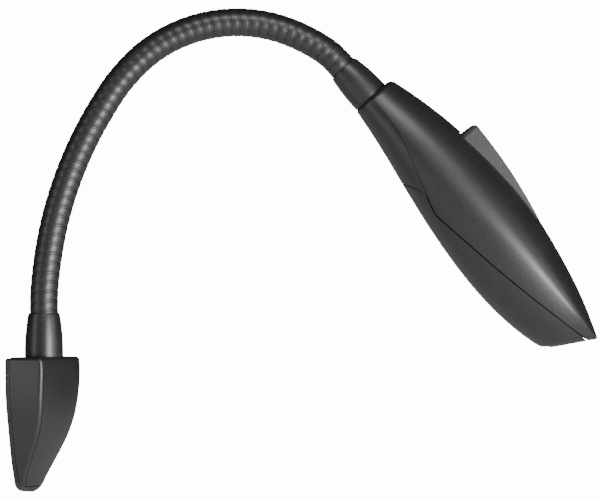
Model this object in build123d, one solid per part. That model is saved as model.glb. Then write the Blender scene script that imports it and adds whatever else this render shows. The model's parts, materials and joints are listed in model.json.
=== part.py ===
from build123d import *
import os
from math import cos, pi, radians, sin, sqrt

# Clip-on reading lamp: a wedge-shaped spring clip, a gooseneck and a battery lamp head.
# Millimetres. +Z runs up the clip towards the neck, +X out through the clip's thickness,
# Y across its width. The origin is the middle of the gripping face, where a cover is held.

# clip
clip_top = 24.0
clip_back = -1.9
grip_gap = 0.15
corner_radius = 1.2
edge_radius = 1.15
top_radius = 1.1
# depth below the clip's top, half width, thickness, crown of the outer face, cover's thickness
clip_stations = [
    (0.0, 9.9, 11.2, 0.9, 1.6),
    (10.0, 9.55, 11.2, 0.9, 1.6),
    (16.0, 8.75, 10.3, 0.9, 1.6),
    (21.0, 7.9, 8.7, 0.8, 1.6),
    (26.0, 7.0, 6.3, 0.7, 1.6),
    (30.5, 5.9, 4.1, 0.5, 1.3),
    (35.2, 4.3, 2.4, 0.3, 0.3),
]
tip_radius = 6.3
cover_inset = 0.9
cover_gap = 0.2
cover_depth = 33.8
back_wall = 1.6
cavity_half_width = 7.3
cavity_depth = 14.0
top_wall = 2.0
boss_half_width = 3.5
boss_depth = 8.0
boss_front = 7.2
clip_screw_across = 5.4
clip_screw_depth = 16.9
clip_screw_length = 6.2
head_pocket = 1.2

# clip jaw: a plate behind the gripping plane, hinged at its top
jaw_back = clip_back + 0.02
jaw_pivot_x = -0.95
jaw_pivot_z = clip_top - 1.15
jaw_pin_radius = 0.4
jaw_pin_half = 9.2
jaw_round = 0.88
running_gap = 0.06
lug_radius = 0.82
lug_inner = 5.6
lug_outer = 7.6
lug_gap = 0.2
notch_depth = 1.15
spring_wire = 0.14
spring_radius = 0.78
spring_turns = 5.5
spring_leg = 4.5
spring_pitch = 2.4 * spring_wire
pad_half_width = 4.6
pad_half_height = 5.5
pad_thick = 0.8

# collar and sleeve, one tapered moulding used at each end of the neck
collar_x = 4.4
collar_length = 11.4
sleeve_length = 10.4
collar_small_radius = 4.1
collar_middle_radius = 4.72
collar_large_radius = 5.0
shank_radius = 2.0
shank_depth = 6.5
ferrule_seat = 5.0

# neck: twelve links on ball joints along two tangent arcs
neck_radius = 3.75
socket_gap = 0.2
link_count = 12
bend_turn = 30.0
low_radius = 102.0
low_turn = 36.0
high_radius = 38.0
head_heading = 136.75
pivot_inset = 3.0

# head, in its own frame: along from the neck end, height towards the button side, across
wall = 1.5
widest_height = -0.3
# distance along, top height, bottom height, half width
head_stations = [
    (0.0, 7.0, -5.2, 6.7),
    (10.0, 9.2, -6.9, 9.4),
    (22.0, 10.9, -9.5, 11.5),
    (36.0, 11.4, -12.3, 12.8),
    (50.0, 10.55, -14.2, 13.2),
    (62.0, 8.2, -14.6, 12.6),
    (72.0, 5.5, -13.6, 11.0),
    (79.0, 3.05, -11.8, 8.7),
    (83.5, 1.2, -9.4, 5.8),
    (86.2, 0.1, -7.2, 3.4),
]
cavity_end = 83.6
mouth_low = (78.5, -11.9)
mouth_high = (85.9, -0.3)
seam_gap = 0.12
door_gap = 0.3
tongue_centre = 31.7
tongue_radius = 9.7
door_hinge = (21.9, -9.75)
hook_height = -7.0
hook_width = 5.0

# battery and cradle, in the head's frame
cell_radius = 5.25
cell_start = 25.0
cell_length = 43.7
cell_button = 0.8
cell_height = -3.0
cradle_start = 22.7
cradle_end = 72.2
cradle_top = 3.2
cradle_half_width = 6.6
cradle_wall = 0.9
board_low = 3.6
board_thick = 1.0
screw_radius = 0.8
screw_head_radius = 1.45
shell_screw_along = 14.5
shell_screw_across = 5.6

# power button: a fin-shaped paddle hinged at its front end
paddle_rear = 22.7
paddle_front = 53.6
paddle_peak = 15.0
paddle_rear_half = 4.3
paddle_front_half = 2.8
paddle_gap = 0.25
paddle_pin_along = 51.3
paddle_pin_height = 8.95
paddle_pin_radius = 0.55
switch_along = 29.0
switch_size = 6.0
switch_top = 7.3
plunger_radius = 1.7
plunger_top = 8.9

# lamp unit behind the mouth
lens_depth = 0.7
lens_thick = 1.2
reflector_radius = 4.2
reflector_depth = 3.6
led_board_radius = 4.0


# ---------------------------------------------------------------- the clip
def clip_outline(station):
    # one level section of the wedge: flat back, straight sides, crowned outer face
    depth, half, thickness, crown, cover = station
    outer = clip_back + thickness
    back = Line((clip_back, half), (clip_back, -half))
    low_side = Line((clip_back, -half), (outer, -half))
    face_arc = ThreePointArc((outer, -half), (outer + crown, 0), (outer, half))
    high_side = Line((outer, half), (clip_back, half))
    outline = make_face(back + low_side + face_arc + high_side)
    front_corners = outline.vertices().group_by(Axis.X)[-1]
    outline = fillet(front_corners, min(corner_radius, 0.25 * thickness))
    back_corners = outline.vertices().group_by(Axis.X)[0]
    outline = fillet(back_corners, min(edge_radius, 0.35 * thickness))
    return Plane.XY.offset(clip_top - depth) * outline


def clip_block():
    # the whole wedge, rounded to a tongue at its tip
    block = loft([clip_outline(station) for station in clip_stations])
    height = clip_stations[-1][0]
    half = clip_stations[0][1] + 2.0
    tongue = Pos(0, 0, clip_top - height + tip_radius) * Rot(0, 90, 0) * Cylinder(tip_radius, 60)
    upper = Pos(0, 0, clip_top - (height - tip_radius) / 2) * Box(60, 2 * half, height - tip_radius)
    block = block & (upper + tongue)
    top_edges = block.edges().group_by(Axis.Z)[-1]
    return fillet(top_edges, top_radius)


def cover_space(gap):
    # room for the crowned outer cover, inset from the wedge's side edges
    inset = cover_inset + gap
    reach = 6.0
    sections = []
    for depth, half_width, thickness, crown, cover in clip_stations:
        half = half_width - inset
        inner = clip_back + thickness - cover + gap / 2
        section = Polyline(
            (inner, half), (inner, -half), (inner + reach, -half), (inner + reach, half), close=True
        )
        sections.append(Plane.XY.offset(clip_top - depth) * make_face(section))
    keep_height = cover_depth - gap
    return loft(sections) & (Pos(0, 0, clip_top - keep_height / 2) * Box(60, 60, keep_height))


def behind_grip(gap):
    # everything at the back of the gripping plane
    return Pos(-gap - 10, 0, 0) * Box(20, 60, 120)


def on_pin(shape):
    # a shape made round the Z axis, laid along the jaw pin
    return Pos(jaw_pivot_x, 0, jaw_pivot_z) * Rot(90, 0, 0) * shape


def lug_places():
    middle = (lug_inner + lug_outer) / 2
    return [(side * middle, lug_outer - lug_inner) for side in (-1, 1)]


def build_clip(block):
    clip_body = block - cover_space(0) - behind_grip(0)
    # hollow between the back wall and the cover, with a boss for the neck's shank
    room_low = clip_top - cavity_depth
    room_high = clip_top - top_wall
    room = Pos(back_wall + 10, 0, (room_low + room_high) / 2)
    room *= Box(20, 2 * cavity_half_width, room_high - room_low)
    boss_low = clip_top - boss_depth
    boss = Pos((back_wall + boss_front) / 2, 0, (boss_low + room_high) / 2)
    boss *= Box(boss_front - back_wall, 2 * boss_half_width, room_high - boss_low)
    clip_body -= room - boss
    # lugs that hold the jaw's pin
    for middle, width in lug_places():
        lug = Cylinder(lug_radius, width)
        lug += Pos(-jaw_pivot_x / 2, 0, 0) * Box(-jaw_pivot_x, 2 * lug_radius, width)
        clip_body += Pos(0, middle, 0) * on_pin(lug)
    clip_body -= on_pin(Cylinder(jaw_pin_radius, 2 * jaw_pin_half))
    # pocket for the pad, socket for the shank, holes for the cover's screws
    clip_body -= Pos(pad_thick / 2, 0, 0) * Box(pad_thick, 2 * pad_half_width, 2 * pad_half_height)
    clip_body -= Pos(collar_x, 0, clip_top - shank_depth / 2) * Cylinder(shank_radius, shank_depth)
    for side in (-1, 1):
        hole = Pos(0, side * clip_screw_across, clip_top - clip_screw_depth) * Rot(0, 90, 0)
        clip_body -= hole * Cylinder(screw_radius + 0.1, 40)
        clip_body -= hole * Pos(0, 0, head_pocket / 2) * Cylinder(screw_head_radius + 0.1, head_pocket)
    return clip_body


def build_cover(block):
    cover = block & cover_space(cover_gap)
    depth = head_pocket + clip_screw_length + 0.1
    for side in (-1, 1):
        at = Pos(0, side * clip_screw_across, clip_top - clip_screw_depth) * Rot(0, 90, 0)
        cover -= at * Pos(0, 0, depth / 2) * Cylinder(screw_radius, depth)
    return cover


def build_jaw(block):
    jaw = (block & behind_grip(grip_gap)) - (Pos(jaw_back - 10, 0, 0) * Box(20, 60, 120))
    # above the pin the plate is round, so that it turns clear of the body
    above = Pos(0, 0, jaw_pivot_z + 5) * Box(30, 30, 10)
    jaw = jaw - (above - on_pin(Cylinder(jaw_round, 30)))
    # notches for the body's lugs and for the spring
    notch_low = jaw_pivot_z - notch_depth
    spring_length = spring_turns * spring_pitch
    notches = [(middle, width + 2 * lug_gap) for middle, width in lug_places()]
    notches.append((0, spring_length + 2 * spring_wire + 2 * lug_gap))
    for middle, width in notches:
        jaw -= Pos(0, middle, notch_low + 5) * Box(30, width, 10)
    jaw -= on_pin(Cylinder(jaw_pin_radius + running_gap, 2 * jaw_pin_half + 0.2))
    # grooves for the spring's legs: one at the front face, one at the back
    leg_low = jaw_pivot_z - spring_leg - lug_gap
    leg_lean = spring_leg * spring_pitch / (2 * pi * spring_radius)
    leg_width = 3 * spring_wire + leg_lean
    leg_height = jaw_pivot_z - leg_low
    for end, leg_x in ((1, jaw_pivot_x + spring_radius), (-1, jaw_pivot_x - spring_radius)):
        groove_y = end * (spring_length + leg_lean) / 2
        groove = Pos(leg_x + end * 0.3, groove_y, (jaw_pivot_z + leg_low) / 2)
        jaw -= groove * Box(0.6 + 2 * spring_wire + 0.04, leg_width, leg_height)
    pad_x = -grip_gap - pad_thick / 2
    jaw -= Pos(pad_x, 0, 0) * Box(pad_thick, 2 * pad_half_width, 2 * pad_half_height)
    return jaw


def build_jaw_spring():
    # torsion spring on the pin: its front leg rests on the body, its back leg on the jaw
    length = spring_turns * spring_pitch
    coil = Helix(spring_pitch, length, spring_radius)
    start = Plane(origin=coil @ 0, z_dir=coil % 0)
    wire = sweep(start * Circle(spring_wire), path=coil, is_frenet=True)
    # each leg runs on along the wire, so it leans outward by the coil's own slope
    leg = Cylinder(spring_wire, spring_leg, align=(Align.CENTER, Align.CENTER, Align.MIN))
    for end, tangent in ((coil @ 0, coil % 0 * -1), (coil @ 1, coil % 1)):
        wire += Plane(origin=end, z_dir=tangent) * leg
    return Pos(0, length / 2, 0) * on_pin(wire)


def build_pad(centre_x):
    pad = Pos(centre_x, 0, 0) * Box(pad_thick, 2 * pad_half_width, 2 * pad_half_height)
    return pad


def screw(head_radius, shaft_radius, length):
    # pan-head screw along +Z, its head's underside at zero, with a cross recess
    head = Pos(0, 0, -0.5) * Cylinder(head_radius, 1.0)
    head = fillet(head.edges().group_by(Axis.Z)[0], 0.3)
    shaft = Pos(0, 0, length / 2) * Cylinder(shaft_radius, length)
    recess = Pos(0, 0, -0.8) * (Box(head_radius, 0.35, 0.5) + Box(0.35, head_radius, 0.5))
    return head + shaft - recess


# ---------------------------------------------------------------- the neck
bend_plane = Plane(
    origin=(collar_x, 0, 0),
    x_dir=(cos(radians(bend_turn)), sin(radians(bend_turn)), 0),
    z_dir=(sin(radians(bend_turn)), -cos(radians(bend_turn)), 0),
)
neck_start = clip_top + collar_length
low_length = low_radius * radians(low_turn)
high_length = high_radius * radians(head_heading - low_turn)
neck_length = low_length + high_length


def neck_point(distance):
    # a point on the neck's centre line: how far out it lies, and how high
    turn = radians(low_turn)
    if distance <= low_length:
        heading = distance / low_radius
        out = low_radius * (1 - cos(heading))
        return out, neck_start + low_radius * sin(heading)
    heading = turn + (distance - low_length) / high_radius
    out = low_radius * (1 - cos(turn)) + high_radius * (cos(turn) - cos(heading))
    rise = low_radius * sin(turn) + high_radius * (sin(heading) - sin(turn))
    return out, neck_start + rise


def neck_pivots():
    # the ball joints' centres, from the collar to the sleeve
    spacing = (neck_length - 2 * pivot_inset) / link_count
    pivots = [neck_point(pivot_inset + spacing * i) for i in range(link_count + 1)]
    pivots[0] = (0.0, neck_start + pivot_inset)
    end_out, end_high = neck_point(neck_length)
    heading = radians(head_heading)
    pivots[-1] = (end_out - pivot_inset * sin(heading), end_high - pivot_inset * cos(heading))
    return [bend_plane.from_local_coords((out, high, 0)) for out, high in pivots]


def build_link(start, end):
    # a rod with a socket at its foot and a ball at its top
    length = (end - start).length
    rod = Pos(0, 0, length / 2) * Cylinder(neck_radius, length)
    rod += Pos(0, 0, length) * Sphere(neck_radius)
    rod -= Sphere(neck_radius + socket_gap)
    return Plane(origin=start, z_dir=end - start) * rod


def build_tapered(length):
    # collar or sleeve: narrow at the neck, wide at its foot, with a gently bulging side
    foot = Line((0, 0), (collar_large_radius, 0))
    side = ThreePointArc(
        (collar_large_radius, 0), (collar_middle_radius, 0.6 * length), (collar_small_radius, length)
    )
    top = Polyline((collar_small_radius, length), (0, length), (0, 0))
    body = revolve(Plane.XZ * make_face(foot + side + top), Axis.Z)
    body = fillet(body.edges().group_by(Axis.Z)[-1], 0.2)
    body -= Pos(0, 0, ferrule_seat + length / 2) * Cylinder(neck_radius, length)
    body -= Cylinder(shank_radius, 4 * length)
    return body


def build_base_ferrule(pivot):
    seat = clip_top + ferrule_seat
    rod = Pos(collar_x, 0, (seat + pivot.Z) / 2) * Cylinder(neck_radius, pivot.Z - seat)
    rod += Pos(*pivot) * Sphere(neck_radius)
    shank_low = clip_top - shank_depth
    rod += Pos(collar_x, 0, (seat + shank_low) / 2) * Cylinder(shank_radius, seat - shank_low)
    return rod


# ---------------------------------------------------------------- the head
# in the head's frame X runs along the head, Y towards the button side and Z across
def head_section(station, skin=0.0):
    along, top, bottom, half_width = station
    across = half_width - skin
    centre = (0, widest_height)
    rise = max(top - skin - widest_height, 0.25)
    drop = widest_height - bottom - skin
    upper = EllipticalCenterArc(centre, across, rise, start_angle=0, arc_size=180)
    lower = EllipticalCenterArc(centre, across, drop, start_angle=180, arc_size=180)
    place = Plane(origin=(along, 0, 0), x_dir=(0, 0, -1), z_dir=(1, 0, 0))
    return place * make_face(upper + lower)


def head_block():
    block = loft([head_section(station) for station in head_stations])
    block = fillet(block.edges().group_by(Axis.X)[0], 1.5)
    return block - mouth_side(0)


def head_hollow(skin):
    # the room inside, with walls of the given thickness
    inner = [head_section(station, skin) for station in head_stations[:-2]]
    inner[0] = head_section((skin,) + head_stations[0][1:], skin)
    inner.append(head_section((cavity_end,) + head_stations[-2][1:], skin * 0.75))
    return loft(inner)


def mouth_plane(depth, slide=0.0):
    # a plane on the slanted mouth, its normal pointing out, moved back by a depth
    run = mouth_high[0] - mouth_low[0]
    rise = mouth_high[1] - mouth_low[1]
    size = sqrt(run * run + rise * rise)
    normal = (rise / size, -run / size)
    middle_x = (mouth_low[0] + mouth_high[0]) / 2 + slide * run / size
    middle_y = (mouth_low[1] + mouth_high[1]) / 2 + slide * rise / size
    origin = (middle_x - depth * normal[0], middle_y - depth * normal[1], 0)
    return Plane(origin=origin, x_dir=(run / size, rise / size, 0), z_dir=(*normal, 0))


def mouth_side(depth):
    # everything outside the mouth
    return mouth_plane(depth) * Pos(0, 0, 20) * Box(80, 80, 40)


def below_seam(drop):
    seam = FilletPolyline(
        (-6, 0.7 - drop), (12.4, -1.04 - drop), (34.0, -8.9 - drop), (90, 0.83 - drop), radius=[40, 9]
    )
    rest = Polyline((90, 0.83 - drop), (90, -40), (-6, -40), (-6, 0.7 - drop))
    return extrude(make_face(seam + rest), 30, both=True)


def door_region(grow):
    # seen from below: a round tongue towards the neck, and everything ahead of its centre
    tongue = Pos(tongue_centre, 0, 0) * Rot(90, 0, 0) * Cylinder(tongue_radius + grow, 80)
    ahead = Pos(tongue_centre - grow + 40, 0, 0) * Box(80, 80, 80)
    return tongue + ahead


def paddle_plan(grow):
    rear = paddle_rear - grow
    front = paddle_front + grow
    outline = Polyline(
        (rear, paddle_rear_half + grow),
        (front, paddle_front_half + grow),
        (front, -paddle_front_half - grow),
        (rear, -paddle_rear_half - grow),
        close=True,
    )
    face = make_face(outline)
    face = fillet(face.vertices(), 1.8 + grow)
    return extrude(Plane.XZ * face, 40, both=True)


def post(along, across, radius, low, high):
    # an upright pillar between two heights
    at = Pos(along, (low + high) / 2, across) * Rot(90, 0, 0)
    return at * Cylinder(radius, high - low)


cradle_screw_places = [(28.0, 8.2), (28.0, -8.2), (59.5, 8.2), (59.5, -8.2)]
shell_screw_places = [(shell_screw_along, shell_screw_across), (shell_screw_along, -shell_screw_across)]


def build_top_shell(block, hollow):
    shell = block - hollow - below_seam(0)
    bosses = [post(along, across, 1.7, cradle_top + 0.05, 12) for along, across in cradle_screw_places]
    bosses += [post(along, across, 1.9, -2.0, 12) for along, across in shell_screw_places]
    for boss in bosses:
        shell += boss & block
    # lugs that carry the paddle's pin
    for side in (-1, 1):
        lug = Pos(paddle_pin_along, paddle_pin_height, side * 3.85) * Box(3.0, 2.4, 1.3)
        shell += lug & block
    slot = paddle_plan(paddle_gap)
    shell -= slot & (Pos(38, 13, 0) * Box(60, 12, 30))
    pin = Pos(paddle_pin_along, paddle_pin_height, 0) * Cylinder(paddle_pin_radius, 2 * 4.2)
    shell -= pin
    for along, across in cradle_screw_places:
        shell -= post(along, across, screw_radius, cradle_top - 1, 4.6)
    for along, across in shell_screw_places:
        shell -= post(along, across, screw_radius, -4, 4.0)
    shell -= Rot(0, 90, 0) * Cylinder(shank_radius, 20)
    return shell


def build_base_shell(block, hollow):
    shell = (block - hollow) & below_seam(seam_gap)
    for along, across in shell_screw_places:
        shell += post(along, across, 2.2, -8, -2.15) & block
    shell -= door_region(door_gap)
    for along, across in shell_screw_places:
        shell -= post(along, across, screw_radius + 0.1, -20, 0)
        shell -= post(along, across, screw_head_radius + 0.1, -20, -4.6)
    shell -= Rot(0, 90, 0) * Cylinder(shank_radius, 20)
    return shell


def build_door(block, hollow):
    door = (block - hollow) & below_seam(door_gap)
    door = door & door_region(0)
    # a hook at the tip of the tongue reaches behind the base shell's edge, on the inside
    tip = tongue_centre - tongue_radius
    riser = Pos(tip + 0.32, hook_height - 0.7, 0) * Box(0.56, 2.3, hook_width)
    lip = Pos(tip - 0.6, hook_height, 0) * Box(2.4, 0.9, hook_width)
    return door + riser + lip


def build_cradle(room):
    length = cradle_end - cradle_start
    low = cell_height + 1.0
    middle = (cradle_start + cradle_end) / 2
    saddle = Pos(middle, (low + cradle_top) / 2, 0)
    saddle *= Box(length, cradle_top - low, 2 * cradle_half_width)
    for along, end_low in (
        (cradle_start + cradle_wall / 2, cell_height - 2.4),
        (cradle_end - cradle_wall / 2, cell_height - 4.0),
    ):
        saddle += Pos(along, (end_low + cradle_top) / 2, 0) * Box(cradle_wall, cradle_top - end_low, 10.0)
    bay = Pos(middle, cell_height, 0) * Rot(0, 90, 0)
    saddle -= bay * Cylinder(cell_radius + 0.15, length - 2 * cradle_wall)
    for along, across in cradle_screw_places:
        ear = Pos(along, cradle_top - 0.65, across * 0.92) * Box(4.2, 1.3, 5.0)
        saddle += ear
        saddle -= post(along, across, screw_radius + 0.1, -5, 10)
    # room for the ears' screw heads beside the saddle
    for along, across in cradle_screw_places:
        saddle -= post(along, across, screw_head_radius + 0.1, -5, cradle_top - 1.3)
    # a notch in the front end for the lamp's leads
    saddle -= Pos(cradle_end - 3, cradle_top + 0.2, 0) * Box(10, 2.0, 4.2)
    return saddle & room


def build_cell():
    can_length = cell_length
    can = Rot(0, 90, 0) * Cylinder(cell_radius, can_length)
    can = fillet(can.edges(), 0.5)
    button = Pos(can_length / 2 + cell_button / 2, 0, 0) * Rot(0, 90, 0) * Cylinder(1.9, cell_button)
    return Pos(cell_start + can_length / 2, cell_height, 0) * (can + button)


def build_spring_contact():
    # flat tab with a raised ring that presses on the cell's flat end
    start = cradle_start + cradle_wall
    tab = Pos(start + 0.15, cell_height, 0) * Box(0.3, 5.2, 6.0)
    coil_length = cell_start - start - 0.3
    ring = Pos(start + 0.3 + coil_length / 2, cell_height, 0) * Rot(0, 90, 0)
    return tab + ring * (Cylinder(2.4, coil_length) - Cylinder(1.7, coil_length))


def build_plate_contact():
    start = cell_start + cell_length + cell_button
    thick = cradle_end - cradle_wall - start
    return Pos(start + thick / 2, cell_height, 0) * Box(thick, 7.0, 6.0)


def build_circuit_board():
    board = Pos(40.0, board_low + board_thick / 2, 0) * Box(31.0, board_thick, 11.0)
    chip = Pos(44.0, board_low + board_thick + 0.6, 1.0) * Box(4.0, 1.2, 3.0)
    coil = Pos(38.0, board_low + board_thick + 1.0, -1.5) * Rot(90, 0, 0) * Cylinder(1.8, 2.0)
    return board + chip + coil


def build_switch():
    low = board_low + board_thick
    case = Pos(switch_along, (low + switch_top) / 2, 0) * Box(switch_size, switch_top - low, switch_size)
    case = fillet(case.edges().filter_by(Axis.Y), 0.4)
    return case - post(switch_along, 0, plunger_radius + 0.08, low + 0.4, 20)


def build_plunger():
    low = board_low + board_thick + 1.4
    return post(switch_along, 0, plunger_radius, low, plunger_top)


def build_paddle():
    step = paddle_rear + 0.5
    rise = Polyline((paddle_rear, 9.4), (step, paddle_peak - 1.4))
    peak = ThreePointArc((step, paddle_peak - 1.4), (step + 0.4, paddle_peak - 0.4), (step + 1.3, paddle_peak))
    crest = ThreePointArc((step + 1.3, paddle_peak), (39.0, 13.3), (paddle_front, 9.95))
    nose = Line((paddle_front, 9.95), (paddle_front, 7.9))
    under = ThreePointArc((paddle_front, 7.9), (38.0, 9.6), (paddle_rear, 9.4))
    side = make_face(rise + peak + crest + nose + under)
    paddle = extrude(side, 20, both=True) & paddle_plan(0)
    paddle -= Pos(paddle_pin_along, paddle_pin_height, 0) * Cylinder(paddle_pin_radius + 0.06, 20)
    paddle += post(switch_along, 0, 1.4, plunger_top + 0.08, 10.5)
    return paddle


def build_led_holder(block_room):
    cup = Cylinder(4.95, 4.9) - Pos(0, 0, 0.6) * Cylinder(reflector_radius + 0.05, 4.9)
    cup -= Pos(2.6, 0, 0) * Box(2.4, 4.4, 20)
    cup = mouth_plane(2.2 + 2.45, slide=-0.7) * cup
    arm = Pos(76.6, 3.0, 0) * Box(2.6, 6.0, 5.0) & block_room
    keep_out = mouth_plane(2.2 + 2.45, slide=-0.7) * Cylinder(4.9, 12)
    return cup + (arm - keep_out)


def build_reflector():
    outer = Cone(1.9, reflector_radius, reflector_depth)
    inner = Cone(1.6, reflector_radius - 0.3, reflector_depth)
    return mouth_plane(2.0 + reflector_depth / 2, slide=-0.7) * (outer - inner)


def build_led_board():
    disc = mouth_plane(6.1, slide=-0.7) * Cylinder(led_board_radius, 0.8)
    return disc


def build_led():
    base = Box(2.4, 1.8, 0.5)
    dome = Pos(0, 0, 0.25) * (Sphere(0.85) & (Pos(0, 0, 1) * Box(4, 4, 2)))
    return mouth_plane(5.45, slide=-0.7) * (base + dome)


def build_lens(room):
    slab = mouth_plane(lens_depth + lens_thick / 2) * Box(40, 40, lens_thick)
    return room & slab


def build_wire(points, radius=0.35):
    path = FilletPolyline(*points, radius=1.0)
    section = Plane(origin=path @ 0, z_dir=path % 0) * Circle(radius)
    return sweep(section, path=path)


# ---------------------------------------------------------------- write every piece
def build_all():
    pieces = {}
    block = clip_block()
    pieces["clip_body"] = build_clip(block)
    pieces["clip_cover"] = build_cover(block)
    pieces["clip_jaw"] = build_jaw(block)
    pieces["jaw_pin"] = on_pin(Cylinder(jaw_pin_radius, 2 * jaw_pin_half))
    pieces["jaw_spring"] = build_jaw_spring()
    pieces["clip_pad"] = build_pad(pad_thick / 2)
    pieces["jaw_pad"] = build_pad(-grip_gap - pad_thick / 2)
    clip_screw = Rot(0, 90, 0) * screw(screw_head_radius, screw_radius, clip_screw_length)
    pieces["clip_screws"] = [
        Pos(head_pocket, side * clip_screw_across, clip_top - clip_screw_depth) * clip_screw for side in (-1, 1)
    ]
    pieces["neck_collar"] = Pos(collar_x, 0, clip_top) * build_tapered(collar_length)

    pivots = neck_pivots()
    pieces["base_ferrule"] = build_base_ferrule(pivots[0])
    for i in range(link_count):
        pieces[f"neck_link_{i + 1:02d}"] = build_link(pivots[i], pivots[i + 1])

    heading = radians(head_heading)
    end_out, end_high = neck_point(neck_length)
    head_out = end_out + sleeve_length * sin(heading)
    head_high = end_high + sleeve_length * cos(heading)
    head_origin = bend_plane.from_local_coords((head_out, head_high, 0))
    out_dir = bend_plane.x_dir
    head_dir = out_dir * sin(heading) + Vector(0, 0, 1) * cos(heading)
    head_plane = Plane(origin=head_origin, x_dir=head_dir, z_dir=bend_plane.z_dir)

    head = {}
    head_solid = head_block()
    hollow = head_hollow(wall)
    inside = head_hollow(wall + 0.35)
    head["head_sleeve"] = Rot(0, -90, 0) * build_tapered(sleeve_length)
    ferrule_start = -sleeve_length - pivot_inset
    rod_length = -ferrule_seat - ferrule_start
    ferrule = Pos(ferrule_start + rod_length / 2, 0, 0) * Rot(0, 90, 0) * Cylinder(neck_radius, rod_length)
    ferrule += Pos((4.5 - ferrule_seat) / 2, 0, 0) * Rot(0, 90, 0) * Cylinder(shank_radius, 4.5 + ferrule_seat)
    head["head_ferrule"] = ferrule - Pos(ferrule_start, 0, 0) * Sphere(neck_radius + socket_gap)
    nut = extrude(RegularPolygon(3.6, 6), 2.2) - Cylinder(shank_radius, 20)
    head["ferrule_nut"] = Pos(wall + 0.1, 0, 0) * Rot(0, 90, 0) * nut
    head["head_top_shell"] = build_top_shell(head_solid, hollow)
    head["head_base_shell"] = build_base_shell(head_solid, hollow)
    head["battery_door"] = build_door(head_solid, hollow)
    head["battery_cradle"] = build_cradle(head_hollow(wall + 0.1))
    head["battery_cell"] = build_cell()
    head["spring_contact"] = build_spring_contact()
    head["plate_contact"] = build_plate_contact()
    head["circuit_board"] = build_circuit_board()
    head["button_switch"] = build_switch()
    head["switch_plunger"] = build_plunger()
    head["power_paddle"] = build_paddle()
    head["paddle_pin"] = Pos(paddle_pin_along, paddle_pin_height, 0) * Cylinder(paddle_pin_radius, 2 * 4.1)
    head["led_holder"] = build_led_holder(head_hollow(wall + 0.02))
    head["reflector"] = build_reflector()
    head["led_board"] = build_led_board()
    head["led"] = build_led()
    head["lens"] = build_lens(inside)
    up = Rot(-90, 0, 0)
    head["shell_screws"] = [
        Pos(along, -4.6, across) * up * screw(screw_head_radius, screw_radius, 8.4)
        for along, across in shell_screw_places
    ]
    head["cradle_screws"] = [
        Pos(along, cradle_top - 1.3, across) * up * screw(screw_head_radius, screw_radius, 2.6)
        for along, across in cradle_screw_places
    ]
    solder = board_low + board_thick + 0.38
    for name, across in (("red_lead", 1.3), ("black_lead", -1.3)):
        route = [(76.9, 0.1, across), (74.2, 2.5, across), (70.0, 3.2, across), (62.0, 4.3, across)]
        route += [(57.0, solder, across), (54.0, solder, across)]
        head[name] = build_wire(route)
    for name, shape in head.items():
        if isinstance(shape, list):
            pieces[name] = [head_plane * solid for solid in shape]
        else:
            pieces[name] = head_plane * shape
    return pieces, pivots, head_plane


def write(name, shape):
    if isinstance(shape, list):
        solids = [solid for item in shape for solid in item.solids()]
    else:
        solids = shape.solids()
    export_step(solids[0] if len(solids) == 1 else Compound(children=solids), f"parts/{name}.step")


os.makedirs("parts", exist_ok=True)
pieces, pivots, head_plane = build_all()
for name, shape in pieces.items():
    write(name, shape)
print(len(pieces), "pieces")
for i, pivot in enumerate(pivots):
    print("pivot", i, [round(value, 3) for value in pivot])
for label, local in (
    ("head origin", (0, 0, 0)),
    ("paddle pin", (paddle_pin_along, paddle_pin_height, 0)),
    ("door hinge", (*door_hinge, 0)),
    ("mouth", ((mouth_low[0] + mouth_high[0]) / 2, (mouth_low[1] + mouth_high[1]) / 2, 0)),
):
    print(label, [round(value, 3) for value in head_plane.from_local_coords(local)])
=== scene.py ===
import bpy
import bmesh
import json
from math import asin, cos, degrees, pi, radians, sin, sqrt
from mathutils import Matrix, Vector

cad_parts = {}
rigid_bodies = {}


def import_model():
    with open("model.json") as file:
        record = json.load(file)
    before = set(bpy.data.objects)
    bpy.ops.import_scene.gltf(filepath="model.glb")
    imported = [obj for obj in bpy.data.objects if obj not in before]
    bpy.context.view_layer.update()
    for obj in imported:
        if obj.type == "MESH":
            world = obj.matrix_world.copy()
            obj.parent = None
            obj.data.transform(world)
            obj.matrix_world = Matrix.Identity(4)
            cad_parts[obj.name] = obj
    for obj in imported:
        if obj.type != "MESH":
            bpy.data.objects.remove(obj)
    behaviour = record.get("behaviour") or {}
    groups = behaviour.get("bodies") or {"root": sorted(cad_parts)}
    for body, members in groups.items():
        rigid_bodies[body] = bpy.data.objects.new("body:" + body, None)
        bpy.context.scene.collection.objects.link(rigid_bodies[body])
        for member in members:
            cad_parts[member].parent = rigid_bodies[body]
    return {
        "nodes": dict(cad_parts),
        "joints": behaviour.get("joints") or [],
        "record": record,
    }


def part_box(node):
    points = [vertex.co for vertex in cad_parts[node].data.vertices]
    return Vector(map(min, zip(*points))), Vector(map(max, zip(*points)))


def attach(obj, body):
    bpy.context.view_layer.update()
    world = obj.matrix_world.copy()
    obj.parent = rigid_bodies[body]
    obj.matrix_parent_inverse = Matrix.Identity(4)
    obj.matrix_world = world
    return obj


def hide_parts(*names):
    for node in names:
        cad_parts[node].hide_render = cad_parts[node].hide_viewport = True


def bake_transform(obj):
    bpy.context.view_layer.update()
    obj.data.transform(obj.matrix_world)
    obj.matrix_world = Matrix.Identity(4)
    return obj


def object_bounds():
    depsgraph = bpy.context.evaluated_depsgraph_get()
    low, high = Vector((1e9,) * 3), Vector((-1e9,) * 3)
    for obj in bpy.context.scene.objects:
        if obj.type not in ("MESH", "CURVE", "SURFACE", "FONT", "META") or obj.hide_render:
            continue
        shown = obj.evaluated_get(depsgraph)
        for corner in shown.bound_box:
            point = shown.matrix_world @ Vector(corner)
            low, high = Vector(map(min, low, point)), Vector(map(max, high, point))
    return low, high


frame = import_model()
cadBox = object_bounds()
record = frame["record"]
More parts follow.
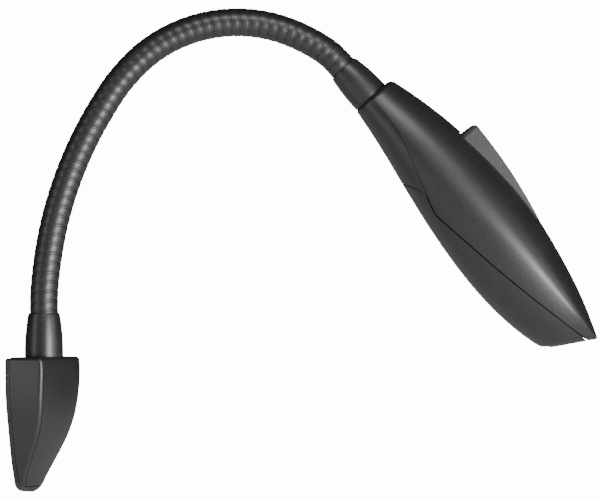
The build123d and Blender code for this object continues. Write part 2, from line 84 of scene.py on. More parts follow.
joints = {joint["name"]: joint for joint in frame["joints"]}
bodies = record["behaviour"]["bodies"]
mm = 0.001


# ---- directions of the lamp, from its joints
def jointPoint(name):
    return Vector(joints[name]["pos_m"])


up = Vector((0, 0, 1))
across = -Vector(joints["door_open"]["axis"]).normalized()  # out of the side that is seen
raised = -Vector(joints["plunger_press"]["axis"]).normalized()  # out of the head's button side
along = raised.cross(across).normalized()  # from the neck towards the mouth
outward = up.cross(across).normalized()  # the way the neck leans
if outward.dot(along) < 0:
    outward = -outward
headPlace = {"hinge": (21.9, -9.75)}  # the door's hinge in the head's own millimetres
headOrigin = (
    jointPoint("door_open") - along * headPlace["hinge"][0] * mm - raised * headPlace["hinge"][1] * mm
)


def inHead(point):  # along, height and across in millimetres, to the row frame
    return headOrigin + (along * point[0] + raised * point[1] + across * point[2]) * mm


# ---- shader writing
class Sum:  # a socket that can stand in a sum
    def __init__(self, surface, socket):
        self.surface = surface
        self.socket = socket

    def maths(self, operation, first, second):
        made = self.surface.node("ShaderNodeMath", {"operation": operation}, {0: first, 1: second})
        return Sum(self.surface, made.outputs[0])

    def __add__(self, other):
        return self.maths("ADD", self, other)

    def __radd__(self, other):
        return self.maths("ADD", other, self)

    def __sub__(self, other):
        return self.maths("SUBTRACT", self, other)

    def __rsub__(self, other):
        return self.maths("SUBTRACT", other, self)

    def __mul__(self, other):
        return self.maths("MULTIPLY", self, other)

    def __rmul__(self, other):
        return self.maths("MULTIPLY", other, self)


class Surface:
    def __init__(self, name):
        self.material = bpy.data.materials.new(name)
        self.material.use_nodes = True
        self.tree = self.material.node_tree
        self.shader = self.tree.nodes["Principled BSDF"]
        self.place = self.node("ShaderNodeTexCoord", {}, {}).outputs["Object"]

    def node(self, kind, settings, inputs):
        made = self.tree.nodes.new(kind)
        for key, value in settings.items():
            if key == "stops":
                for index, (position, colour) in enumerate(value):
                    stops = made.color_ramp.elements
                    stop = stops[index] if index < 2 else stops.new(position)
                    stop.position = position
                    stop.color = colour
            else:
                setattr(made, key, value)
        for key, value in inputs.items():
            if isinstance(value, Sum):
                value = value.socket
            if isinstance(value, bpy.types.NodeSocket):
                self.tree.links.new(value, made.inputs[key])
            else:
                made.inputs[key].default_value = value
        return made

    def noise(self, grain, detail=2.0):  # grain is the size of one blotch in millimetres
        inputs = {"Vector": self.place, "Scale": 1000 / grain, "Detail": detail}
        return Sum(self, self.node("ShaderNodeTexNoise", {}, inputs).outputs["Fac"])

    def ramp(self, value, low, high):  # 0 below low, 1 above high, soft between
        settings = {"interpolation_type": "SMOOTHSTEP"}
        made = self.node("ShaderNodeMapRange", settings, {"Value": value, "From Min": low, "From Max": high})
        return Sum(self, made.outputs[0])

    def mix(self, factor, first, second):
        made = self.node("ShaderNodeMix", {"data_type": "RGBA"}, {0: factor, 6: first, 7: second})
        return made.outputs[2]

    def bump(self, height, depth, strength=1.0):  # depth in millimetres
        inputs = {"Height": height, "Distance": depth * mm, "Strength": strength}
        return self.node("ShaderNodeBump", {}, inputs).outputs["Normal"]

    def attribute(self, name):
        made = self.node("ShaderNodeAttribute", {"attribute_name": name}, {})
        return Sum(self, made.outputs["Fac"])

    def wear(self, **sockets):
        for key, value in sockets.items():
            name = key.replace("_", " ")
            if isinstance(value, Sum):
                value = value.socket
            if isinstance(value, bpy.types.NodeSocket):
                self.tree.links.new(value, self.shader.inputs[name])
            else:
                self.shader.inputs[name].default_value = value
        return self.material


def grey(value, blue=1.0):
    return (value, value * (1 + 0.03 * blue), value * (1 + 0.10 * blue), 1)


# ---- materials
def mouldedPlastic(name, dark, light, gloss, grain, depth):
    # satin black moulding: spark texture, faint flow marks and a little handling polish
    surface = Surface(name)
    flow = surface.noise(9.0, 3.0)
    spark = surface.noise(grain, 1.5)
    fine = surface.noise(grain * 0.35, 1.0)
    scuff = surface.ramp(surface.noise(2.2, 6.0), 0.60, 0.78)
    colour = surface.mix(flow * 0.7 + spark * 0.3, grey(dark), grey(light))
    roughness = gloss + (flow - 0.5) * 0.05 + (spark - 0.5) * 0.10 - scuff * 0.03
    height = spark * 0.7 + fine * 0.3
    normal = surface.bump(height, depth)
    return surface.wear(
        Base_Color=colour, Roughness=roughness, Normal=normal, IOR=1.49, Coat_Weight=0.0,
        Specular_IOR_Level=0.5,
    )


def coatedSteel():
    # black coated winding: dull in its groove, a little polished where hands rub its crown
    surface = Surface("coated steel winding")
    crown = surface.attribute("crown")
    spots = surface.noise(0.9, 4.0)
    fine = surface.noise(0.12, 2.0)
    rub = crown * surface.ramp(spots, 0.42, 0.66)
    colour = surface.mix(rub, grey(0.006), grey(0.010))
    roughness = 0.42 - rub * 0.03 + (fine - 0.5) * 0.04
    normal = surface.bump(fine * 0.6 + spots * 0.4, 0.006)
    return surface.wear(Base_Color=colour, Roughness=roughness, Normal=normal, IOR=1.52)


def softRubber():
    surface = Surface("pad rubber")
    grain = surface.noise(0.22, 3.0)
    colour = surface.mix(surface.noise(3.0, 3.0), grey(0.016, 0), grey(0.030, 0))
    return surface.wear(Base_Color=colour, Roughness=0.72 + grain * 0.15, Normal=surface.bump(grain, 0.02))


def platedMetal(name, low, high, gloss):
    surface = Surface(name)
    cloud = surface.noise(1.1, 4.0)
    scratch = surface.noise(0.10, 3.0)
    colour = surface.mix(cloud, low, high)
    roughness = gloss + cloud * 0.12 + scratch * 0.08
    return surface.wear(
        Base_Color=colour, Metallic=1.0, Roughness=roughness, Normal=surface.bump(scratch, 0.003)
    )


def cellJacket():
    # plain dark jacket with a pale band round one end, and bare metal ends
    surface = Surface("cell jacket")
    local = surface.node("ShaderNodeVectorMath", {"operation": "DOT_PRODUCT"}, {0: surface.place, 1: along})
    distance = Sum(surface, local.outputs["Value"]) - headOrigin.dot(along)
    band = surface.ramp(distance, 54.9 * mm, 55.0 * mm)
    metal = surface.ramp(distance, 68.1 * mm, 68.2 * mm)
    metal = metal + (1 - surface.ramp(distance, 25.4 * mm, 25.5 * mm))
    jacket = surface.mix(band, grey(0.030), (0.55, 0.56, 0.58, 1))
    colour = surface.mix(metal, jacket, (0.62, 0.61, 0.58, 1))
    cloud = surface.noise(2.5, 3.0)
    roughness = 0.24 + cloud * 0.10
    return surface.wear(Base_Color=colour, Metallic=metal, Roughness=roughness, Coat_Weight=0.2)


def solderMask():
    # green mask with copper tracks showing through it
    surface = Surface("solder mask")
    tracks = surface.node(
        "ShaderNodeTexBrick",
        {"offset": 0.35, "squash": 1.6},
        {"Vector": surface.place, "Scale": 260.0, "Mortar Size": 0.035,
         "Color1": (0, 0, 0, 1), "Color2": (0, 0, 0, 1),
         "Mortar": (1, 1, 1, 1)},
    )
    mask = Sum(surface, tracks.outputs["Fac"])
    cloud = surface.noise(1.5, 3.0)
    colour = surface.mix(mask, (0.010, 0.085, 0.030, 1), (0.025, 0.150, 0.050, 1))
    return surface.wear(Base_Color=colour, Roughness=0.28 + cloud * 0.12, Normal=surface.bump(mask, 0.03))


def clearMoulding():
    surface = Surface("clear moulding")
    cloud = surface.noise(4.0, 2.0)
    return surface.wear(
        Base_Color=(0.93, 0.95, 0.97, 1), Roughness=0.03 + cloud * 0.03, IOR=1.49, Transmission_Weight=1.0,
        Alpha=0.35
    )


def phosphor():
    surface = Surface("lamp phosphor")
    speck = surface.noise(0.12, 3.0)
    colour = surface.mix(speck, (0.80, 0.66, 0.16, 1), (0.95, 0.86, 0.40, 1))
    return surface.wear(Base_Color=colour, Roughness=0.18 + speck * 0.08, Coat_Weight=0.6)


def leadInsulation(name, low, high):
    surface = Surface(name)
    cloud = surface.noise(0.8, 3.0)
    return surface.wear(Base_Color=surface.mix(cloud, low, high), Roughness=0.36 + cloud * 0.14)


finishes = {
    "shell_plastic": mouldedPlastic("satin shell moulding", 0.0075, 0.0115, 0.40, 0.20, 0.010),
    "trim_plastic": mouldedPlastic("satin collar moulding", 0.0070, 0.0110, 0.38, 0.18, 0.008),
    # the button's colour is set darker than the shell's as painted shade, so that its flank reads as shaded
    "paddle_plastic": mouldedPlastic("button moulding with painted shade", 0.0050, 0.0080, 0.42, 0.16, 0.009),
    "neck_steel": coatedSteel(),
    "pad_rubber": softRubber(),
    "zinc_steel": platedMetal("zinc plate", (0.50, 0.50, 0.49, 1), (0.68, 0.68, 0.66, 1), 0.26),
    "contact_metal": platedMetal("nickel plate", (0.62, 0.60, 0.55, 1), (0.78, 0.76, 0.70, 1), 0.16),
    "cradle_plastic": mouldedPlastic("cradle moulding", 0.018, 0.026, 0.48, 0.22, 0.010),
    "cell_jacket": cellJacket(),
    "board_green": solderMask(),
    "switch_plastic": mouldedPlastic("switch moulding", 0.030, 0.045, 0.45, 0.15, 0.006),
    "bright_reflector": platedMetal("vacuum plate", (0.84, 0.84, 0.85, 1), (0.90, 0.90, 0.91, 1), 0.05),
    "led_plastic": phosphor(),
    "lens_clear": clearMoulding(),
    "red_insulation": leadInsulation("red insulation", (0.42, 0.016, 0.010, 1), (0.56, 0.030, 0.020, 1)),
    "black_insulation": leadInsulation("black insulation", grey(0.010, 0), grey(0.018, 0)),
}
slotOf = {part["node"]: part["material_slot"] for part in record["subparts"]}
bodyOf = {node: body for body, members in bodies.items() for node in members}
for node, piece in frame["nodes"].items():
    piece.data.materials.clear()
    piece.data.materials.append(finishes[slotOf[node]])
print("materials made")


# ---- making pieces
def pieceFrom(bm, name, slot, smoothAngle=35.0):
    bmesh.ops.recalc_face_normals(bm, faces=bm.faces)
    mesh = bpy.data.meshes.new(name)
    bm.to_mesh(mesh)
    bm.free()
    mesh.shade_smooth()
    mesh.set_sharp_from_angle(angle=radians(smoothAngle))
    mesh.materials.append(finishes[slot])
    piece = bpy.data.objects.new(name, mesh)
    bpy.context.scene.collection.objects.link(piece)
    return piece


def applyModifiers(piece):
    graph = bpy.context.evaluated_depsgraph_get()
    solved = bpy.data.meshes.new_from_object(piece.evaluated_get(graph))
    piece.modifiers.clear()
    piece.data = solved
    return piece


def softenEdges(piece, width, segments=3, angle=32.0):
    bevel = piece.modifiers.new("soft edges", "BEVEL")
    bevel.width = width * mm
    bevel.segments = segments
    bevel.limit_method = "ANGLE"
    bevel.angle_limit = radians(angle)
    bevel.use_clamp_overlap = True
    bevel.harden_normals = True
    bevel.material = -1
    return piece


def refined(node, width, segments=3, angle=32.0):
    # the node's own shape, welded and with its sharp edges rounded as a mould leaves them
    bm = bmesh.new()
    bm.from_mesh(frame["nodes"][node].data)
    bmesh.ops.remove_doubles(bm, verts=bm.verts, dist=0.002 * mm)
    bmesh.ops.dissolve_limit(bm, angle_limit=radians(0.6), verts=bm.verts, edges=bm.edges)
    piece = pieceFrom(bm, node + "_finished", slotOf[node])
    softenEdges(piece, width, segments, angle)
    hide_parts(node)
    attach(piece, bodyOf[node])
    return piece


# ---- neck: a wide band and a narrow strip wound together
coil = {
    "pitch": 2.5,
    "band": 2.06,  # width of the wide winding
    "strip": 0.52,
    "outside": 3.68,
    "stripOutside": 3.6,
    "thickness": 0.62,
    "round": 0.1,
    "crown": 0.02,
    "steps": 64,  # faces round one turn
    "lead": 3.0,  # from the collar's or sleeve's end to the nearest joint
    "inside": 1.6,  # how far the coil runs on inside the collar and sleeve
    "rigid": 3.4,  # half the length of a span round each joint; the span is worked out but nothing uses it
}
linkCount = sum(1 for body in bodies if body.startswith("neck_"))
neckJoints = [None] * (linkCount + 1)
chain = ["clip"] + sorted(body for body in bodies if body.startswith("neck_")) + ["head"]
for joint in frame["joints"]:
    if joint["name"].startswith("neck_"):
        neckJoints[chain.index(joint["parent"])] = Vector(joint["pos_m"])


def neckRoute():
    # the neck's middle line as closely spaced places: distance, point, direction
    first = neckJoints[0] - up * coil["lead"] * mm
    last = neckJoints[-1] + along * coil["lead"] * mm
    knots = [first] + neckJoints + [last]
    slopes = [up]
    for before, knot, after in zip(knots, knots[1:], knots[2:]):
        back, ahead = knot - before, after - knot
        slope = back / back.length_squared + ahead / ahead.length_squared
        slopes.append(slope.normalized())
    slopes[1] = up
    slopes[-1] = along
    slopes.append(along)
    places = [(0.0, first, up)]
    for knot, following, slope, nextSlope in zip(knots, knots[1:], slopes, slopes[1:]):
        chord = (following - knot).length
        for step in range(1, 25):
            t = step / 24
            point = knot * (2 * t ** 3 - 3 * t * t + 1) + following * (3 * t * t - 2 * t ** 3)
            point += (slope * (t ** 3 - 2 * t * t + t) + nextSlope * (t ** 3 - t * t)) * chord * 1.01
            run = (point - places[-1][1]).length
            places.append((places[-1][0] + run, point, None))
    return places


route = neckRoute()


def neckPlace(distance):
    # point and direction of the middle line, running straight on past both ends
    if distance <= 0:
        return route[0][1] + up * distance, up
    if distance >= route[-1][0]:
        return route[-1][1] + along * (distance - route[-1][0]), along
    low, high = 0, len(route) - 1
    while high - low > 1:
        middle = (low + high) // 2
        if route[middle][0] <= distance:
            low = middle
        else:
            high = middle
    part = (distance - route[low][0]) / (route[high][0] - route[low][0])
    before = route[max(low - 1, 0)][1]
    after = route[min(high + 1, len(route) - 1)][1]
    here = route[high][1] - route[low][1]
    middling = here.normalized() * (1 - abs(2 * part - 1)) * 0.5
    direction = (middling + (after - before).normalized()).normalized()
    return route[low][1].lerp(route[high][1], part), direction


def bendToNeck(bm):
    # an upright coil round the Z axis is laid along the neck's line
    for vert in bm.verts:
        point, direction = neckPlace(vert.co.z)
        sideways = -across
        normal = sideways.cross(direction).normalized()
        vert.co = point + normal * vert.co.x + sideways * vert.co.y


def roundedBar(bm, centre, width, outside, thickness, crown):
    # cross-section of one winding, as a face in the XZ plane with rounded corners
    corners = []
    for radius, height in (
        (outside - thickness, -width / 2), (outside, -width / 2), (outside + crown, 0),
        (outside, width / 2), (outside - thickness, width / 2),
    ):
        corners.append(bm.verts.new((radius * mm, 0, (centre + height) * mm)))
    bm.faces.new(corners)
    bmesh.ops.bevel(
        bm, geom=corners, offset=coil["round"] * mm, segments=3, profile=0.5, affect="VERTICES", material=-1
    )
    return list(bm.faces)


def windCoil(first, last, width, offset, outside, thickness, crown):
    # one winding from one distance along the neck to another
    bm = bmesh.new()
    profile = roundedBar(bm, 0.0, width, outside, thickness, crown)
    turns = (last - first) / (coil["pitch"] * mm)
    steps = max(3, round(turns * coil["steps"]))
    start = Matrix.Rotation(2 * pi * first / (coil["pitch"] * mm), 4, "Z")
    bmesh.ops.transform(bm, matrix=Matrix.Translation((0, 0, first + offset * mm)) @ start, verts=bm.verts)
    bmesh.ops.spin(
        bm, geom=profile + list(bm.edges) + list(bm.verts), cent=(0, 0, 0), axis=(0, 0, 1),
        dvec=(0, 0, (last - first) / steps), angle=2 * pi * turns, steps=steps, use_merge=False,
    )
    return bm


def makeNeck():
    travelled = coil["lead"] * mm
    reach = [travelled]
    for knot, following in zip(neckJoints, neckJoints[1:]):
        chord = (following - knot).length
        travelled += chord * 1.002
        reach.append(travelled)
    total = route[-1][0]
    inside = coil["inside"] * mm
    middles = [-inside] + [(a + b) / 2 for a, b in zip(reach, reach[1:])] + [total + inside]
    for index, pivot in enumerate(neckJoints):
        first, last = middles[index], middles[index + 1]
        thickness = coil["thickness"]
        band = windCoil(first, last, coil["band"], 0.0, coil["outside"], thickness, coil["crown"])
        half = coil["pitch"] / 2
        strip = windCoil(first, last, coil["strip"], half, coil["stripOutside"], thickness, 0.0)
        held = bpy.data.meshes.new("held")
        strip.to_mesh(held)
        strip.free()
        band.from_mesh(held)
        bpy.data.meshes.remove(held)
        radii = [Vector((vert.co.x, vert.co.y)).length / mm for vert in band.verts]
        bendToNeck(band)
        piece = pieceFrom(band, f"neck_coil_{index + 1:02d}", "neck_steel", 50.0)
        crown = piece.data.attributes.new("crown", "FLOAT", "POINT")
        base = coil["outside"] - 0.12
        crown.data.foreach_set("value", [min(1.0, max(0.0, (radius - base) / 0.17)) for radius in radii])
        if 1 <= index <= linkCount:
            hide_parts(f"neck_link_{index:02d}")
        direction = neckPlace(reach[index])[1]
        span = direction * coil["rigid"] * mm
        pivot - span
        pivot + span
        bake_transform(piece)
    print("neck wound")


makeNeck()


# ---- collar, sleeve and the metal ends of the coil
taper = {
    "foot": 5.0, "tip": 4.1, "bulge": 0.183, "bore": 3.78, "shank": 2.0, "seat": 5.0,
    "tipRound": 0.3, "footRound": 0.1,
}


def lathe(outline, steps=96):
    # a closed outline of radius and height, turned round Z
    bm = bmesh.new()
    ring = [bm.verts.new((radius * mm, 0, height * mm)) for radius, height in outline]
    edges = [bm.edges.new((a, b)) for a, b in zip(ring, ring[1:] + ring[:1])]
    bmesh.ops.spin(
        bm, geom=ring + edges, cent=(0, 0, 0), axis=(0, 0, 1), angle=2 * pi, steps=steps, use_merge=True,
    )
    bmesh.ops.remove_doubles(bm, verts=bm.verts, dist=0.001 * mm)
    return bm


def arcPoints(centre, radius, first, last, steps):
    turns = [radians(first + (last - first) * step / steps) for step in range(steps + 1)]
    return [(centre[0] + radius * cos(turn), centre[1] + radius * sin(turn)) for turn in turns]


def taperOutline(length):
    tipRound, footRound = taper["tipRound"], taper["footRound"]
    outline = [(taper["shank"], 0.0)]
    outline += arcPoints((taper["foot"] - footRound, footRound), footRound, -90, 0, 5)
    fall = taper["foot"] - taper["tip"] + taper["bulge"]
    for step in range(1, 12):
        t = step / 12
        outline.append((taper["foot"] + taper["bulge"] * t - fall * t * t, length * t))
    outline += arcPoints((taper["tip"] - tipRound, length - tipRound), tipRound, 5, 90, 7)
    outline += [(taper["bore"] - 0.25, length), (taper["bore"] - 0.25, length - 0.3)]
    outline += [(taper["bore"], length - 0.5), (taper["bore"], taper["seat"])]
    outline += [(taper["shank"], taper["seat"])]
    return outline


def barrelOutline(end):
    # threaded shank below, plain barrel above, inside the coil
    return [(0.0, -6.4), (1.7, -6.4), (1.95, -6.1), (1.95, 5.05), (2.95, 5.05), (2.95, end), (0.0, end)]


def placeAt(bm, origin, direction):
    turn = up.rotation_difference(direction).to_matrix().to_4x4()
    bmesh.ops.transform(bm, matrix=Matrix.Translation(origin) @ turn, verts=bm.verts)


def makeEnds():
    low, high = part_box("neck_collar")
    collarFoot = Vector(((low.x + high.x) / 2, (low.y + high.y) / 2, low.z))
    collarLength = (high.z - low.z) / mm
    sleeveLength = (headOrigin - route[-1][1]).length / mm
    for node, foot, direction, length, ferrule in (
        ("neck_collar", collarFoot, up, collarLength, "base_ferrule"),
        ("head_sleeve", headOrigin, -along, sleeveLength, "head_ferrule"),
    ):
        bm = lathe(taperOutline(length))
        placeAt(bm, foot, direction)
        piece = pieceFrom(bm, node + "_finished", "trim_plastic", 60.0)
        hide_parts(node)
        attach(piece, bodyOf[node])
        bm = lathe(barrelOutline(length + 1.0), 48)
        placeAt(bm, foot, direction)
        barrel = pieceFrom(bm, ferrule + "_finished", "neck_steel")
        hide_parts(ferrule)
        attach(barrel, bodyOf[ferrule])
    print("collar and sleeve turned")


makeEnds()


# ---- head casing
head = {
    "widest": -0.3,
    # distance along, top height, bottom height, half width
    "stations": (
        (0.0, 7.0, -5.2, 6.7), (10.0, 9.2, -6.9, 9.4), (22.0, 10.9, -9.5, 11.5), (36.0, 11.4, -12.3, 12.8),
        (50.0, 10.55, -14.2, 13.2), (62.0, 8.2, -14.6, 12.6), (72.0, 5.5, -13.6, 11.0),
        (79.0, 3.05, -11.8, 8.7),
        (83.5, 1.2, -9.4, 5.8), (86.2, 0.1, -7.2, 3.4),
    ),
    "shoulder": (0.6, 1.6),  # rounding at the neck end, under and over
    "cap": 2.6,
    "wall": 1.5,
    "end": 86.2,
    "seam": ((-6.0, 0.7), (12.4, -1.04), (33.4, -8.75), (60.0, -6.3), (90.0, -1.3)),
    "seamRounding": (5.1, 2.4, 12.0),
    "mouthLow": (78.5, -11.9),
    "mouthHigh": (85.9, -0.3),
    "tongue": (31.7, 9.7),
    "rows": 200,
    "columns": 72,
    "baseGap": 0.12,
    "doorGap": 0.30,
    "edge": 0.22,
    "rim": 1.1,  # rounding round the mouth
    "lip": (1.55, 2.15, 1.1),  # inner ledge behind the seam: from and to this depth, and its reach
    "lipSpan": (2.4, 83.2),  # where the ledge starts and ends along the head
}


def slopesThrough(xs, ys):
    # tangents of a natural cubic through the stations
    count = len(xs)
    first, last = (ys[1] - ys[0]) / (xs[1] - xs[0]), (ys[-1] - ys[-2]) / (xs[-1] - xs[-2])
    slopes = [first] + [0.0] * (count - 2) + [last]
    for _ in range(60):
        for i in range(1, count - 1):
            left, right = xs[i] - xs[i - 1], xs[i + 1] - xs[i]
            target = 3 * ((ys[i] - ys[i - 1]) / left ** 2 + (ys[i + 1] - ys[i]) / right ** 2)
            slopes[i] = (target - slopes[i - 1] / left - slopes[i + 1] / right) / (2 / left + 2 / right)
        slopes[0] = (3 * (ys[1] - ys[0]) / (xs[1] - xs[0]) - slopes[1]) / 2
        slopes[-1] = (3 * (ys[-1] - ys[-2]) / (xs[-1] - xs[-2]) - slopes[-2]) / 2
    return slopes


stationX = [station[0] for station in head["stations"]]
stationCurves = []
for which in (1, 2, 3):
    values = [station[which] for station in head["stations"]]
    stationCurves.append((values, slopesThrough(stationX, values)))


def sectionAt(distance):
    # top height, bottom height and half width at a distance along the head
    distance = min(max(distance, 0.0), stationX[-1])
    i = 0
    while i < len(stationX) - 2 and distance > stationX[i + 1]:
        i += 1
    step = stationX[i + 1] - stationX[i]
    t = (distance - stationX[i]) / step
    sizes = []
    for values, slopes in stationCurves:
        size = values[i] * (2 * t ** 3 - 3 * t * t + 1) + values[i + 1] * (3 * t * t - 2 * t ** 3)
        size += (slopes[i] * (t ** 3 - 2 * t * t + t) + slopes[i + 1] * (t ** 3 - t * t)) * step
        sizes.append(size)
    return sizes


def seamHeight(distance):
    corners = head["seam"]
    slopes = [(b[1] - a[1]) / (b[0] - a[0]) for a, b in zip(corners, corners[1:])]
    height = corners[0][1] + slopes[0] * (distance - corners[0][0])
    for corner, before, after, reach in zip(corners[1:-1], slopes, slopes[1:], head["seamRounding"]):
        past = distance - corner[0]
        if past > reach:
            height += (after - before) * past
        elif past > -reach:
            height += (after - before) * (past + reach) ** 2 / (4 * reach)
    return height


def rounding(past, radius):
    # how far a quarter round draws the skin in, at a distance from its edge
    past = min(max(past, 0.0), radius)
    return radius - sqrt(radius ** 2 - (radius - past) ** 2)


def behindMouth(distance, height):
    # how far a place lies behind the slanted mouth
    low, high = Vector(head["mouthLow"]), Vector(head["mouthHigh"])
    run = (high - low).normalized()
    return (low - Vector((distance, height))).dot(Vector((run.y, -run.x)))


def skinTurn(distance, share, upper, gap, inset):
    # the place's angle round the casing's section, with the section's half width, rise and drop
    top, bottom, half = sectionAt(distance)
    width = max(half - inset, 0.2)
    # near the nose the crown is lower than the wall is thick, so each skin keeps a share of it
    full = top - head["widest"]
    rise = max(full - inset, full * (0.3 if inset >= head["wall"] else 0.6))
    drop = max(head["widest"] - bottom - inset, 0.2)
    offset = seamHeight(distance) - gap - head["widest"]
    tilt = asin(max(-1.0, min(1.0, offset / (drop if offset < 0 else rise))))
    turn = tilt + (pi - 2 * tilt) * share if upper else tilt - (pi + 2 * tilt) * share
    return turn, width, rise, drop


def headSkin(distance, share, upper, gap, inset, shrink=0.0):
    # a point of the casing: share runs from one seam over the crown or round the keel to the other
    turn, width, rise, drop = skinTurn(distance, share, upper, gap, inset)
    drawn = inset + shrink
    if inset == 0:
        under, over = head["shoulder"]
        drawn += rounding(distance, under + (over - under) * (1 + sin(turn)) / 2)
        height = head["widest"] + (rise if sin(turn) > 0 else drop) * sin(turn)
        drawn += rounding(behindMouth(distance, height), head["rim"])
    turn, width, rise, drop = skinTurn(distance, share, upper, gap, drawn)
    height = head["widest"] + (rise if sin(turn) > 0 else drop) * sin(turn)
    return distance, height, width * cos(turn)


def casingHalf(upper, gap):
    # outer skin and inner skin from two grids, joined round their edges
    bm = bmesh.new()
    rows, columns = head["rows"], head["columns"]
    for inset in (0.0, head["wall"]):
        before = set(bm.verts)
        bmesh.ops.create_grid(bm, x_segments=rows, y_segments=columns, size=0.5)
        fresh = [vert for vert in bm.verts if vert not in before]
        capShare = 0.06
        for vert in fresh:
            share, t = vert.co.y + 0.5, vert.co.x + 0.5
            if t < capShare:  # the flat wall at the neck end, drawn in towards the sleeve
                distance, shrink = inset, (1 - t / capShare) * head["cap"]
            else:
                t = (t - capShare) / (1 - capShare)
                distance, shrink = inset + (head["end"] - inset) * (t ** 2 * 0.35 + t * 0.65), 0.0
            vert.co = inHead(headSkin(distance, share, upper, gap, inset, shrink))
    edges = [edge for edge in bm.edges if edge.is_boundary]
    bmesh.ops.bridge_loops(bm, edges=edges)
    return bm


def makeCasing(name, upper, gap):
    return pieceFrom(casingHalf(upper, gap), name, "shell_plastic")


def makeLip():
    # a ledge inside the upper casing that runs on past the seam, so that no light comes through
    near, far, reach = head["lip"]
    bm = bmesh.new()
    for side in (-1, 1):
        made = set()
        for inset in (near, far):
            before = set(bm.verts)
            bmesh.ops.create_grid(bm, x_segments=120, y_segments=3, size=0.5)
            fresh = [vert for vert in bm.verts if vert not in before]
            made.update(fresh)
            for vert in fresh:
                start, end = head["lipSpan"]
                distance = start + (end - start) * (vert.co.x + 0.5)
                height = seamHeight(distance) + 2 * reach * vert.co.y
                top, bottom, half = sectionAt(distance)
                above = height > head["widest"]
                size = (top - head["widest"] if above else head["widest"] - bottom) - inset
                share = min(1.0, abs(height - head["widest"]) / size)
                vert.co = inHead((distance, height, side * (half - inset) * sqrt(1 - share ** 2)))
        edges = [edge for edge in bm.edges if edge.is_boundary and edge.verts[0] in made]
        bmesh.ops.bridge_loops(bm, edges=edges)
    piece = pieceFrom(bm, "head_seam_lip", "shell_plastic")
    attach(piece, "head")


def prism(name, outline, low, high, plan=True):
    # a cutter: an outline in along and across, or in along and height, extruded
    bm = bmesh.new()
    if plan:
        ring = [bm.verts.new(inHead((a, low, b))) for a, b in outline]
        reach = raised * (high - low) * mm
    else:
        ring = [bm.verts.new(inHead((a, b, low))) for a, b in outline]
        reach = across * (high - low) * mm
    face = bm.faces.new(ring)
    made = bmesh.ops.extrude_face_region(bm, geom=[face])
    moved = [item for item in made["geom"] if isinstance(item, bmesh.types.BMVert)]
    bmesh.ops.translate(bm, verts=moved, vec=reach)
    bmesh.ops.recalc_face_normals(bm, faces=bm.faces)
    mesh = bpy.data.meshes.new(name)
    bm.to_mesh(mesh)
    bm.free()
    cutter = bpy.data.objects.new(name, mesh)
    bpy.context.scene.collection.objects.link(cutter)
    return cutter


def carve(piece, cutters, operation="DIFFERENCE"):
    for cutter in cutters:
        cut = piece.modifiers.new("cut", "BOOLEAN")
        cut.operation = operation
        cut.solver = "EXACT"
        cut.object = cutter
    applyModifiers(piece)
    for cutter in cutters:
        bpy.data.objects.remove(cutter)
    return piece


def mouthCutter():
    # everything ahead of the slanted mouth
    low, high = Vector(head["mouthLow"]), Vector(head["mouthHigh"])
    run = (high - low).normalized()
    ahead = Vector((run.y, -run.x))
    low, high = low - run * 20, high + run * 20
    outline = [low, high, high + ahead * 25, low + ahead * 25]
    return prism("mouth cutter", [tuple(point) for point in outline], -30, 30, plan=False)


def doorCutter(grow):
    # a round tongue towards the neck, and everything ahead of its centre
    centre, radius = head["tongue"]
    lean = degrees(asin(grow / (radius + grow)))
    outline = arcPoints((centre, 0), radius + grow, 90 + lean, 270 - lean, 48)
    outline += [(centre - grow, -30), (centre + 60, -30), (centre + 60, 30), (centre - grow, 30)]
    return prism("door cutter", outline, -40, 20)


paddle = {"rear": 22.7, "front": 53.6, "rearHalf": 4.3, "frontHalf": 2.8, "corner": 1.8, "gap": 0.25}


def paddlePlan(grow):
    rear, front = paddle["rear"] - grow, paddle["front"] + grow
    radius = paddle["corner"] + grow
    rearHalf, frontHalf = paddle["rearHalf"] + grow, paddle["frontHalf"] + grow
    outline = arcPoints((front - radius, frontHalf - radius), radius, 0, 90, 8)
    outline += arcPoints((rear + radius, rearHalf - radius), radius, 90, 180, 8)
    outline += arcPoints((rear + radius, radius - rearHalf), radius, 180, 270, 8)
    outline += arcPoints((front - radius, radius - frontHalf), radius, 270, 360, 8)
    return outline


def makeHead():
    top = makeCasing("head_top_shell_finished", True, 0.0)
    carve(top, [mouthCutter(), prism("slot cutter", paddlePlan(paddle["gap"]), 6.0, 30.0)])
    softenEdges(top, head["edge"])
    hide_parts("head_top_shell")
    base = makeCasing("head_base_shell_finished", False, head["baseGap"])
    carve(base, [doorCutter(head["doorGap"])])
    softenEdges(base, head["edge"])
    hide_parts("head_base_shell")
    door = makeCasing("battery_door_finished", False, head["doorGap"])
    carve(door, [mouthCutter()])
    carve(door, [doorCutter(0.0)], "INTERSECT")
    softenEdges(door, head["edge"])
    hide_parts("battery_door")
    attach(top, "head")
    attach(base, "head")
    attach(door, "door")
    makeLip()
    print("head casing made")


makeHead()


# ---- pieces whose own shape is kept, welded and rounded
edgeWidths = {
    "clip_body": 0.18, "clip_cover": 0.16, "clip_jaw": 0.22, "power_paddle": 0.45,
    "clip_pad": 0.2, "jaw_pad": 0.2, "battery_cradle": 0.12, "led_holder": 0.10,
    "button_switch": 0.12, "switch_plunger": 0.15, "ferrule_nut": 0.2,
}
for node, width in edgeWidths.items():
    refined(node, width)
print("moulded pieces rounded")


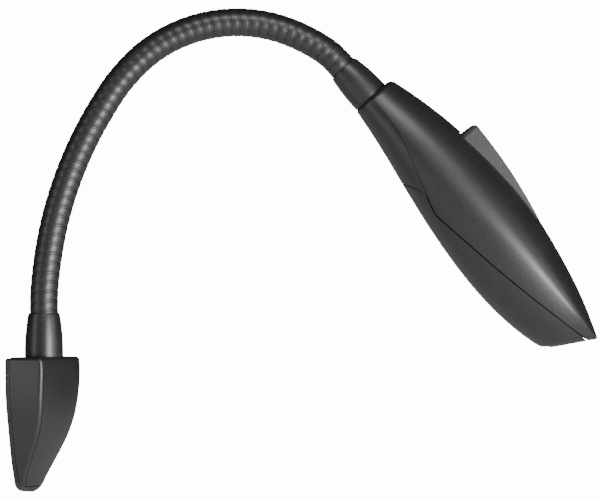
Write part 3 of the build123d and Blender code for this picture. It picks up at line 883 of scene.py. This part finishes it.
# ---- floor, lights, camera
def makeStage():
    low = cadBox[0]
    size = 1.5
    bm = bmesh.new()
    bmesh.ops.create_grid(bm, x_segments=1, y_segments=1, size=size)
    bmesh.ops.translate(bm, verts=bm.verts, vec=(0, 0, low.z - 0.12))
    mesh = bpy.data.meshes.new("floor")
    bm.to_mesh(mesh)
    bm.free()
    floor = bpy.data.objects.new("floor", mesh)
    bpy.context.scene.collection.objects.link(floor)
    surface = Surface("pale floor")
    cloud = surface.noise(400.0, 2.0)
    mesh.materials.append(surface.wear(
        Base_Color=surface.mix(cloud, (0.90, 0.90, 0.90, 1), (0.93, 0.93, 0.93, 1)), Roughness=0.8,
        Emission_Color=(1, 1, 1, 1), Emission_Strength=0.25,
    ))


view = {"elevation": 0.3, "distance": 1.6, "lens": 369.0, "sensor": 36.0, "out": 0.0666, "height": 0.0518}


def makeCamera():
    low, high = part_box("neck_collar")
    stem = Vector(((low.x + high.x) / 2, (low.y + high.y) / 2, 0))
    target = stem + outward * view["out"] + up * view["height"]
    tilt = radians(view["elevation"])
    back = across * cos(tilt) + up * sin(tilt)
    data = bpy.data.cameras.new("camera")
    data.lens = view["lens"]
    data.sensor_width = view["sensor"]
    data.clip_start = 0.01
    camera = bpy.data.objects.new("camera", data)
    camera.rotation_mode = "QUATERNION"
    camera.location = target + back * view["distance"]
    camera.rotation_quaternion = (-back).to_track_quat("-Z", "Y")
    bpy.context.scene.collection.objects.link(camera)
    bpy.context.scene.camera = camera
    return target


def softbox(name, target, right, lift, width, height, power, distance=0.9):
    # a rectangle of light, at angles to the right of and above the line to the viewer
    data = bpy.data.lights.new(name, "AREA")
    data.shape = "RECTANGLE"
    data.size = width
    data.size_y = height
    data.energy = power
    light = bpy.data.objects.new(name, data)
    right, lift = radians(right), radians(lift)
    way = (outward * sin(right) + across * cos(right)) * cos(lift) + up * sin(lift)
    light.location = target + way * distance
    light.rotation_mode = "QUATERNION"
    light.rotation_quaternion = (-way).to_track_quat("-Z", "Y")
    bpy.context.scene.collection.objects.link(light)
    return light


def makeLights(target):
    softbox("front", target, 32, -4, 0.34, 0.40, 17.0)
    softbox("above", target, 2, 44, 0.50, 0.16, 5.0)
    softbox("left", target, -62, 4, 0.22, 0.80, 2.2)
    softbox("right", target, 66, 4, 0.20, 0.70, 2.2)
    softbox("below", target, -14, -58, 0.60, 0.18, 1.2)
    world = bpy.data.worlds.new("studio")
    world.use_nodes = True
    tree = world.node_tree
    tree.nodes.clear()
    output = tree.nodes.new("ShaderNodeOutputWorld")
    seen = tree.nodes.new("ShaderNodeBackground")
    seen.inputs["Color"].default_value = (1, 1, 1, 1)
    seen.inputs["Strength"].default_value = 14.0
    lit = tree.nodes.new("ShaderNodeBackground")
    lit.inputs["Color"].default_value = (0.84, 0.92, 1.0, 1)
    lit.inputs["Strength"].default_value = 0.05
    rays = tree.nodes.new("ShaderNodeLightPath")
    mixer = tree.nodes.new("ShaderNodeMixShader")
    tree.links.new(rays.outputs["Is Camera Ray"], mixer.inputs[0])
    tree.links.new(lit.outputs[0], mixer.inputs[1])
    tree.links.new(seen.outputs[0], mixer.inputs[2])
    tree.links.new(mixer.outputs[0], output.inputs[0])
    bpy.context.scene.world = world


makeStage()
makeLights(makeCamera())
print("stage made")
